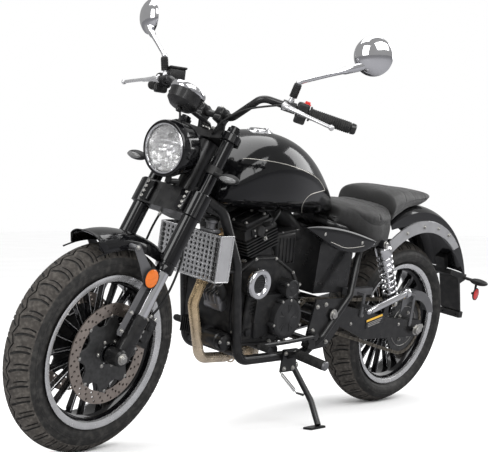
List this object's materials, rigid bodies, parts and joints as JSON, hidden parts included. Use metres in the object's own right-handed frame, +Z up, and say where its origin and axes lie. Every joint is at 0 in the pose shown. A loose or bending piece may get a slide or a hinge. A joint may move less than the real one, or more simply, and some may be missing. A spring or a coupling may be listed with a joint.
{
  "type": "cruiser motorcycle",
  "caption": "Low two-wheeled cruiser motorcycle with a steering fork, spinning wheels and a folding side stand, leaning as parked.",
  "frame": {"origin": "centre of the bounding box on the floor, between and below the wheels", "axes": "+X to the front of the motorcycle, +Y to the rider's left, +Z up; the machine leans to +Y onto its side stand"},
  "size_m": [2.2467, 0.986, 1.3993],
  "materials": {
    "black_bright_edge": "gloss black, machined edges",
    "tyre": "matt",
    "disc_steel": "ground",
    "steel": "satin",
    "satin_black": "satin",
    "chrome": "polished",
    "grip_rubber": "matt",
    "black_plastic": "matt",
    "gloss_black": "gloss",
    "clear_lens": "clear",
    "lamp_plastic": "clear over chrome",
    "engine_black": "satin black",
    "grey_metal": "satin",
    "silver_guard": "satin",
    "gold_steel": "heat tinted",
    "seat_cover": "grained",
    "red_lens": "gloss"
  },
  "bodies": {
    "frame": {"main_frame": "satin_black", "swingarm": "satin_black", "rear_shocks": "chrome", "drive_chain": "steel", "engine_crankcase": "engine_black", "engine_cylinders": "engine_black", "engine_covers": "grey_metal", "chain_guard": "steel", "radiator": "satin_black", "radiator_guard": "silver_guard", "exhaust_headers": "gold_steel", "exhaust_silencer": "steel", "fuel_tank": "gloss_black", "fuel_cap": "chrome", "rider_seat": "seat_cover", "pillion_seat": "seat_cover", "side_covers": "gloss_black", "rear_fender": "gloss_black", "fender_struts": "grey_metal", "tail_lamp": "red_lens", "plate_bracket": "black_plastic", "rear_turn_signals": "lamp_plastic", "foot_controls": "satin_black", "rear_caliper": "satin_black"},
    "steering": {"triple_clamps": "satin_black", "fork_outer_tubes": "satin_black", "fork_sliders": "chrome", "front_calipers": "satin_black", "handlebar": "satin_black", "grips": "grip_rubber", "hand_controls": "black_plastic", "mirrors": "chrome", "headlamp_shell": "gloss_black", "headlamp_lens": "clear_lens", "speedometer": "black_plastic", "front_turn_signals": "lamp_plastic", "front_fender": "gloss_black"},
    "front_wheel": {"front_rim": "black_bright_edge", "front_tyre": "tyre", "front_discs": "disc_steel"},
    "rear_wheel": {"rear_rim": "black_bright_edge", "rear_tyre": "tyre", "rear_disc": "disc_steel", "rear_sprocket": "steel"},
    "side_stand": {"side_stand": "satin_black"}
  },
  "joints": [
    {"name": "steering", "type": "hinge", "parent": "frame", "child": "steering", "pos_m": [0.76597, -0.1879, 0.28684], "axis": [-0.4533, 0.17, 0.875], "range_deg": [-37.7, 32.3]},
    {"name": "front_wheel_spin", "type": "hinge", "parent": "steering", "child": "front_wheel", "pos_m": [0.8096, -0.1814, 0.30818], "axis": [-0.0421, 0.9765, -0.2116], "continuous": true},
    {"name": "rear_wheel_spin", "type": "hinge", "parent": "frame", "child": "rear_wheel", "pos_m": [-0.64836, -0.18499, 0.3029], "axis": [-0.0001, 0.9816, -0.1908], "continuous": true},
    {"name": "side_stand_fold", "type": "hinge", "parent": "frame", "child": "side_stand", "pos_m": [0.00156, -0.09127, 0.19759], "axis": [-0.2354, 0.9703, 0.0562], "range_deg": [0, 90]}
  ]
}
